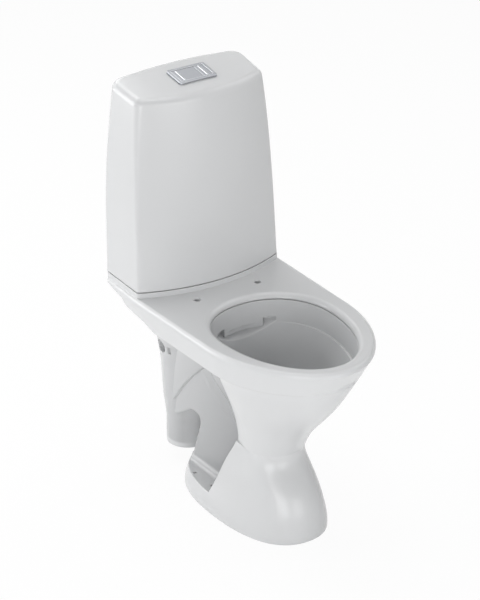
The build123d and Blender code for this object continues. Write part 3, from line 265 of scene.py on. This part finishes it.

# %% [markdown]
# ## Finishes
# One recipe serves all the finishes: a tone that drifts, edges that are rounder and painted a
# little paler, partly as wear and partly as painted highlight, and relief that breaks up the
# highlights. Only the numbers differ. Glaze is smooth, with long soft waves from the firing, satin
# metal is brushed along its length, moulded plastic has a fine grain, rubber is rough and dusty,
# and brass has darkened in its corners.
# Numbers that are the same all over, such as the index of refraction, sit on the shader itself.

# %% Material recipe
def finish(name, colour, shade, edge_wear_and_highlight_colour, edge_wear_and_highlight_share, roughness, relief, metallic=0.0,
           edge_radius=0.0015, patch_scale=5.0, speck=(300.0, 0.2), stretch=(1.0, 1.0, 1.0),
           waves=12.0, grain=(600.0, 0.2), ior=1.5, bump_depth=0.0005, recess=None):
    """Procedural material: roughness is (low, high), speck and grain are (scale, share).

    recess is the colour of the painted shade on the walls in the recess behind the skirt, or None.
    """
    material = bpy.data.materials.new(name)
    material.use_nodes = True
    tree = material.node_tree
    shader = tree.nodes["Principled BSDF"]
    place = tree.nodes.new("ShaderNodeTexCoord").outputs["Object"]

    tone = tree.nodes.new("ShaderNodeGroup")
    tone.node_tree = tone_drift
    tree.links.new(place, tone.inputs["Vector"])
    tone.inputs["Colour"].default_value = (*colour, 1.0)
    tone.inputs["Shade"].default_value = (*shade, 1.0)
    tone.inputs["Patch Scale"].default_value = patch_scale
    tone.inputs["Speck Scale"].default_value = speck[0]
    tone.inputs["Speck Amount"].default_value = speck[1]

    edges = tree.nodes.new("ShaderNodeGroup")
    edges.node_tree = soft_edges
    edges.inputs["Radius"].default_value = edge_radius
    # Edges are mixed towards a paler edge colour: partly wear and partly painted highlight.
    edge_wear_and_highlight = math_node(tree, "MULTIPLY", edges.outputs["Edge"], edge_wear_and_highlight_share)
    colour_out = mix_colours(tree, edge_wear_and_highlight, tone.outputs["Colour"], edge_wear_and_highlight_colour)
    # Painted shade: a mask darkens the glaze on the walls of the recess behind the skirt to the recess
    # colour.
    if recess:
        painted_shade_mask = tree.nodes.new("ShaderNodeGroup")
        painted_shade_mask.node_tree = painted_recess_shade
        tree.links.new(place, painted_shade_mask.inputs["Vector"])
        colour_out = mix_colours(tree, painted_shade_mask.outputs["Recess"], colour_out, recess)
    tree.links.new(colour_out, shader.inputs["Base Color"])

    surface = tree.nodes.new("ShaderNodeGroup")
    surface.node_tree = fine_relief
    tree.links.new(place, surface.inputs["Vector"])
    surface.inputs["Stretch"].default_value = stretch
    surface.inputs["Wave Scale"].default_value = waves
    surface.inputs["Grain Scale"].default_value = grain[0]
    surface.inputs["Grain Share"].default_value = grain[1]
    surface.inputs["Low Roughness"].default_value = roughness[0]
    surface.inputs["High Roughness"].default_value = roughness[1]
    tree.links.new(surface.outputs["Roughness"], shader.inputs["Roughness"])
    bump = tree.nodes.new("ShaderNodeBump")
    bump.inputs["Strength"].default_value = relief
    bump.inputs["Distance"].default_value = bump_depth
    tree.links.new(surface.outputs["Height"], bump.inputs["Height"])
    tree.links.new(edges.outputs["Normal"], bump.inputs["Normal"])
    tree.links.new(bump.outputs[0], shader.inputs["Normal"])

    shader.inputs["Metallic"].default_value = metallic
    shader.inputs["IOR"].default_value = ior
    return material


# %% The finishes of this toilet
finishes = {
    # The last colour of the glaze is painted shade for the walls of the recess behind the skirt.
    "glaze": finish(
        "glazed_ware", (0.63, 0.635, 0.64), (0.605, 0.613, 0.622), (0.66, 0.665, 0.665), 0.6,
        (0.20, 0.27), 0.35, edge_radius=0.003, patch_scale=4.0, speck=(260.0, 0.15), waves=9.0,
        grain=(420.0, 0.03), ior=1.45, bump_depth=0.0012, recess=(0.30, 0.305, 0.312)),
    # The nearly white edge colour of the satin chrome, mixed in fully, is painted highlight.
    "satin_chrome": finish(
        "satin_chrome", (0.34, 0.35, 0.37), (0.29, 0.30, 0.32), (0.90, 0.91, 0.93), 1.0,
        (0.30, 0.42), 0.25, metallic=1.0, edge_radius=0.0012, stretch=(0.05, 1.0, 1.0),
        waves=900.0, grain=(2200.0, 0.6), bump_depth=0.00005),
    "white_plastic": finish(
        "white_moulding", (0.80, 0.81, 0.80), (0.75, 0.76, 0.75), (0.84, 0.84, 0.83), 0.6,
        (0.32, 0.42), 0.2, grain=(1500.0, 0.5)),
    "grey_plastic": finish(
        "grey_moulding", (0.40, 0.42, 0.44), (0.36, 0.38, 0.40), (0.50, 0.52, 0.53), 0.6,
        (0.42, 0.55), 0.25, grain=(1300.0, 0.6)),
    "tank_plastic": finish(
        "tank_moulding", (0.68, 0.70, 0.71), (0.62, 0.645, 0.655), (0.76, 0.77, 0.77), 0.5,
        (0.38, 0.5), 0.3, waves=20.0, grain=(900.0, 0.4)),
    "float_plastic": finish(
        "float_moulding", (0.17, 0.31, 0.50), (0.14, 0.27, 0.45), (0.30, 0.43, 0.60), 0.6,
        (0.35, 0.48), 0.25, grain=(1300.0, 0.5)),
    "black_rubber": finish(
        "black_rubber", (0.035, 0.035, 0.037), (0.055, 0.054, 0.052), (0.09, 0.09, 0.09), 0.5,
        (0.6, 0.8), 0.5, grain=(2600.0, 0.8), speck=(900.0, 0.5)),
    "spring_steel": finish(
        "spring_steel", (0.55, 0.55, 0.56), (0.47, 0.47, 0.48), (0.72, 0.72, 0.72), 0.6,
        (0.22, 0.34), 0.2, metallic=1.0, edge_radius=0.0004, grain=(3000.0, 0.5)),
    "brass": finish(
        "yellow_brass", (0.70, 0.52, 0.24), (0.55, 0.39, 0.17), (0.86, 0.69, 0.38), 0.8,
        (0.25, 0.45), 0.3, metallic=1.0, edge_radius=0.0006, speck=(700.0, 0.5),
        grain=(1800.0, 0.5)),
}
print("finishes:", sorted(finishes))

# %% [markdown]
# ## Dress the CAD nodes
# The record of the part says which material slot each node takes. Each node keeps its mesh and
# gets the finish of its slot, so the same table serves the CAD model and this dressed one.

# %% Give each node its finish
for row in frame["record"]["subparts"]:
    piece = nodes[row["node"]]
    piece.data.materials.clear()
    piece.data.materials.append(finishes[row["material_slot"]])

# %% [markdown]
# ## Coils and threads
# A return spring and a screw thread follow the same rule: a round bar that climbs a cylinder by
# one pitch each turn. One Geometry Nodes tree makes both. On a spring the bar is the wire itself.
# On a shank it is sunk most of the way in, so only its crest stands proud, as a rolled thread
# does. Inputs are set by each socket's identifier before the first evaluation, and the result is
# baked to a plain mesh, because an exporter keeps meshes and drops instances.

# %% Helpers for Geometry Nodes
def new_tree(name, inputs):
    """Geometry tree with its group sockets, and its input and output nodes."""
    tree = bpy.data.node_groups.new(name, "GeometryNodeTree")
    tree.interface.new_socket("Geometry", in_out="OUTPUT", socket_type="NodeSocketGeometry")
    for label, kind in inputs:
        tree.interface.new_socket(label, in_out="INPUT", socket_type=kind)
    return tree, tree.nodes.new("NodeGroupInput"), tree.nodes.new("NodeGroupOutput")


def close_tree(tree, entry, leave, geometry):
    """Realizes the geometry, moves it to its centre, smooths it and gives it its material."""
    move = tree.nodes.new("GeometryNodeTransform")
    smooth = tree.nodes.new("GeometryNodeSetShadeSmooth")
    realize = tree.nodes.new("GeometryNodeRealizeInstances")
    paint = tree.nodes.new("GeometryNodeSetMaterial")
    tree.links.new(geometry, realize.inputs["Geometry"])
    tree.links.new(realize.outputs[0], move.inputs["Geometry"])
    tree.links.new(entry.outputs["Centre"], move.inputs["Translation"])
    tree.links.new(move.outputs[0], smooth.inputs["Geometry"])
    tree.links.new(smooth.outputs[0], paint.inputs["Geometry"])
    tree.links.new(entry.outputs["Material"], paint.inputs["Material"])
    tree.links.new(paint.outputs[0], leave.inputs[0])
    return tree


def grow(name, tree, values):
    """Runs a tree with its inputs set by identifier, and bakes the result into one plain mesh."""
    seed = bpy.data.objects.new(name + "_seed", bpy.data.meshes.new(name + "_seed"))
    bpy.context.scene.collection.objects.link(seed)
    modifier = seed.modifiers.new("grow", "NODES")
    modifier.node_group = tree
    for item in tree.interface.items_tree:
        if item.item_type == "SOCKET" and item.in_out == "INPUT" and item.name in values:
            modifier[item.identifier] = values[item.name]
    bpy.context.view_layer.update()
    ready = seed.evaluated_get(bpy.context.evaluated_depsgraph_get())
    mesh = bpy.data.meshes.new_from_object(ready)
    mesh.name = name
    seed.modifiers.remove(modifier)
    bpy.data.objects.remove(seed)
    piece = bpy.data.objects.new(name, mesh)
    bpy.context.scene.collection.objects.link(piece)
    return piece


# %% The coil tree
def build_coil_tree():
    """Round bar wound on a cylinder: centre at its foot, radius, height, turns and bar radius."""
    tree, entry, leave = new_tree("Wound bar", [
        ("Centre", "NodeSocketVector"), ("Radius", "NodeSocketFloat"), ("Height", "NodeSocketFloat"),
        ("Turns", "NodeSocketFloat"), ("Bar Radius", "NodeSocketFloat"), ("Steps", "NodeSocketInt"),
        ("Material", "NodeSocketMaterial")])
    spiral = tree.nodes.new("GeometryNodeCurveSpiral")
    for label, source in (("Start Radius", "Radius"), ("End Radius", "Radius"), ("Height", "Height"),
                          ("Rotations", "Turns"), ("Resolution", "Steps")):
        tree.links.new(entry.outputs[source], spiral.inputs[label])
    ring = tree.nodes.new("GeometryNodeCurvePrimitiveCircle")
    ring.inputs["Resolution"].default_value = 8
    tree.links.new(entry.outputs["Bar Radius"], ring.inputs["Radius"])
    skin = tree.nodes.new("GeometryNodeCurveToMesh")
    skin.inputs["Fill Caps"].default_value = True
    tree.links.new(spiral.outputs[0], skin.inputs["Curve"])
    tree.links.new(ring.outputs[0], skin.inputs["Profile Curve"])
    return close_tree(tree, entry, leave, skin.outputs[0])


wound_bar = build_coil_tree()

# %% Return springs
wire = 0.0005
for side in ("full", "half"):
    node_name = side + "_button_spring"
    low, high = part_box(node_name)
    coil_radius = (high.x - low.x) / 2 - wire
    tall = high.z - low.z - 2 * wire
    foot = ((low.x + high.x) / 2, (low.y + high.y) / 2, low.z + wire)
    spring = grow(side + "_return_spring", wound_bar, {
        "Centre": foot, "Radius": coil_radius, "Height": tall, "Turns": 5.0, "Bar Radius": wire,
        "Steps": 24, "Material": finishes["spring_steel"]})
    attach(spring, "hood_body")
    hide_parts(node_name)
    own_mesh(spring)
    print(spring.name, "height", round(tall, 4), "faces", len(spring.data.polygons))

# %% Threads
def thread(name, x, y, low, high, radius, pitch, crest, slot_name):
    """Thread on an upright shank between two heights; its crest stands this far proud."""
    bar = 2.2 * crest
    length = high - low - 2 * bar
    piece = grow(name, wound_bar, {
        "Centre": (x, y, low + bar), "Radius": radius + crest - bar, "Height": length,
        "Turns": length / pitch, "Bar Radius": bar, "Steps": 32,
        "Material": finishes[slot_name]})
    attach(piece, "pan_body")
    print(name, "turns", round(length / pitch, 1))


valve_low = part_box("fill_valve_body")[0]
deck_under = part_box("bolt_washers")[1].z
bolt_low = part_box("tank_bolts")[0]
nut_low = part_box("wing_nuts")[0].z
seat_low, seat_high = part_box("valve_seat")
locknut_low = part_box("valve_locknut")[0].z
shank_x = -0.112
shank_y = 0.240
bolt_x = 0.09
bolt_y = 0.282
thread("supply_thread", shank_x, shank_y, valve_low.z, deck_under,
       radius=0.01048, pitch=0.0018, crest=0.0002, slot_name="white_plastic")
for side, x in (("left", -bolt_x), ("right", bolt_x)):
    thread(side + "_bolt_thread", x, bolt_y, bolt_low.z, nut_low,
           radius=0.003, pitch=0.001, crest=0.00012, slot_name="brass")
seat_y = (seat_low.y + seat_high.y) / 2
thread("outlet_thread", 0.0, seat_y, seat_low.z, locknut_low,
       radius=0.025, pitch=0.003, crest=0.0002, slot_name="grey_plastic")

# %% [markdown]
# ## Grip ribs
# The screwed cap of the fill valve is turned by hand, so it has small upright ribs all round.
# They are placed by a second tree: points on a circle, one short bar on each point.

# %% The rib tree
def build_rib_tree():
    """Upright round ribs on a circle: centre, radius, count, rib radius and rib height."""
    tree, entry, leave = new_tree("Ring of ribs", [
        ("Centre", "NodeSocketVector"), ("Radius", "NodeSocketFloat"), ("Count", "NodeSocketInt"),
        ("Rib Radius", "NodeSocketFloat"), ("Rib Height", "NodeSocketFloat"),
        ("Material", "NodeSocketMaterial")])
    circle = tree.nodes.new("GeometryNodeMeshCircle")
    tree.links.new(entry.outputs["Count"], circle.inputs["Vertices"])
    tree.links.new(entry.outputs["Radius"], circle.inputs["Radius"])
    rib = tree.nodes.new("GeometryNodeMeshCylinder")
    rib.inputs["Vertices"].default_value = 10
    tree.links.new(entry.outputs["Rib Radius"], rib.inputs["Radius"])
    tree.links.new(entry.outputs["Rib Height"], rib.inputs["Depth"])
    spread = tree.nodes.new("GeometryNodeInstanceOnPoints")
    tree.links.new(circle.outputs[0], spread.inputs["Points"])
    tree.links.new(rib.outputs["Mesh"], spread.inputs["Instance"])
    return close_tree(tree, entry, leave, spread.outputs[0])


rib_ring = build_rib_tree()
cap_low, cap_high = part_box("fill_valve_cap")
rib_inset = 0.001
rib_height = 0.0075
rib_circle = (cap_high.x - cap_low.x) / 2 - rib_inset
rib_top = cap_low.z + rib_height
grips = grow("cap_grip_ribs", rib_ring, {
    "Centre": (shank_x, shank_y, (cap_low.z + rib_top) / 2), "Radius": rib_circle, "Count": 36,
    "Rib Radius": 0.0006, "Rib Height": rib_top - cap_low.z,
    "Material": finishes["grey_plastic"]})
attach(grips, "pan_body")
print("ribs faces", len(grips.data.polygons))

# %% [markdown]
# ## Floor, world and lights
# The picture has a plain white ground and soft light that is strongest from the left. White here
# comes from the colour of the ground: rays from the camera see most of it as plain white, and the
# rest is a lit floor that keeps a faint shadow. The lamps stay at a plain level, so the glaze
# renders near its own colour. They are wide soft boxes: the strongest stand low on the left and
# high behind, two weaker ones are in front and above, and the weakest is high on the right.

# %% Floor
floor_mesh = bpy.data.meshes.new("studio_floor")
reach = 40.0
corners = [(-reach, -reach, 0), (reach, -reach, 0), (reach, reach, 0), (-reach, reach, 0)]
floor_mesh.from_pydata(corners, [], [(0, 1, 2, 3)])
floor = bpy.data.objects.new("studio_floor", floor_mesh)
floor_gap = 0.0004
floor.location.z = -floor_gap
bpy.context.scene.collection.objects.link(floor)


def white_to_the_eye(tree):
    """1 for rays that come from the camera or through a reflection or glass, else 0."""
    path = tree.nodes.new("ShaderNodeLightPath")
    seen = math_node(tree, "MAXIMUM", path.outputs["Is Camera Ray"], path.outputs["Is Glossy Ray"])
    return math_node(tree, "MAXIMUM", seen, path.outputs["Is Transmission Ray"])


floor_material = bpy.data.materials.new("studio_floor")
floor_material.use_nodes = True
floor_tree = floor_material.node_tree
floor_tree.nodes.clear()
matte = floor_tree.nodes.new("ShaderNodeBsdfDiffuse")
matte.inputs["Color"].default_value = (0.9, 0.9, 0.9, 1.0)
glow = floor_tree.nodes.new("ShaderNodeEmission")
glow.inputs["Strength"].default_value = 1.0
blend_floor = floor_tree.nodes.new("ShaderNodeMixShader")
floor_out = floor_tree.nodes.new("ShaderNodeOutputMaterial")
white_share = 0.94
whiteness = math_node(floor_tree, "MULTIPLY", white_to_the_eye(floor_tree), white_share)
floor_tree.links.new(whiteness, blend_floor.inputs[0])
floor_tree.links.new(matte.outputs[0], blend_floor.inputs[1])
floor_tree.links.new(glow.outputs[0], blend_floor.inputs[2])
floor_tree.links.new(blend_floor.outputs[0], floor_out.inputs[0])
floor_mesh.materials.append(floor_material)

# %% World
world = bpy.data.worlds.new("studio_world")
bpy.context.scene.world = world
world.use_nodes = True
sky = world.node_tree
sky.nodes.clear()
ambient = sky.nodes.new("ShaderNodeBackground")
ambient.inputs["Color"].default_value = (0.955, 0.98, 1.0, 1.0)
ambient.inputs["Strength"].default_value = 0.01
white = sky.nodes.new("ShaderNodeBackground")
white.inputs["Color"].default_value = (1.0, 1.0, 1.0, 1.0)
white.inputs["Strength"].default_value = 1.0
blend_sky = sky.nodes.new("ShaderNodeMixShader")
sky_out = sky.nodes.new("ShaderNodeOutputWorld")
sky.links.new(white_to_the_eye(sky), blend_sky.inputs[0])
sky.links.new(ambient.outputs[0], blend_sky.inputs[1])
sky.links.new(white.outputs[0], blend_sky.inputs[2])
sky.links.new(blend_sky.outputs[0], sky_out.inputs[0])

# %% Lamps
def soft_box(name, place, aim, size, power):
    """White square area lamp at a place, aimed at a point."""
    data = bpy.data.lights.new(name, "AREA")
    data.size = size
    data.energy = power
    lamp = bpy.data.objects.new(name, data)
    lamp.location = place
    lamp.rotation_euler = (Vector(aim) - Vector(place)).to_track_quat("-Z", "Y").to_euler()
    bpy.context.scene.collection.objects.link(lamp)
    print(name, "power", power)


middle = Vector((0.0, 0.0, 0.5))
lamp_distance = 3.8
lamp_size = 2.4
# Turn from the front towards the left, height, both in degrees, and power in watts
lamp_rows = [("front", 0, 8, 52.0), ("front_left", 45, 8, 72.0), ("rear_left", 132, 8, 92.0),
             ("rear_high", 180, 45, 68.0), ("right_high", 270, 45, 31.0), ("top", 0, 90, 52.0)]
for name, turn, height, power in lamp_rows:
    a, e = math.radians(turn), math.radians(height)
    towards = Vector((-math.sin(a) * math.cos(e), -math.cos(a) * math.cos(e), math.sin(e)))
    soft_box(name, middle + lamp_distance * towards, middle, lamp_size, power)
bpy.context.scene.view_settings.view_transform = "Standard"
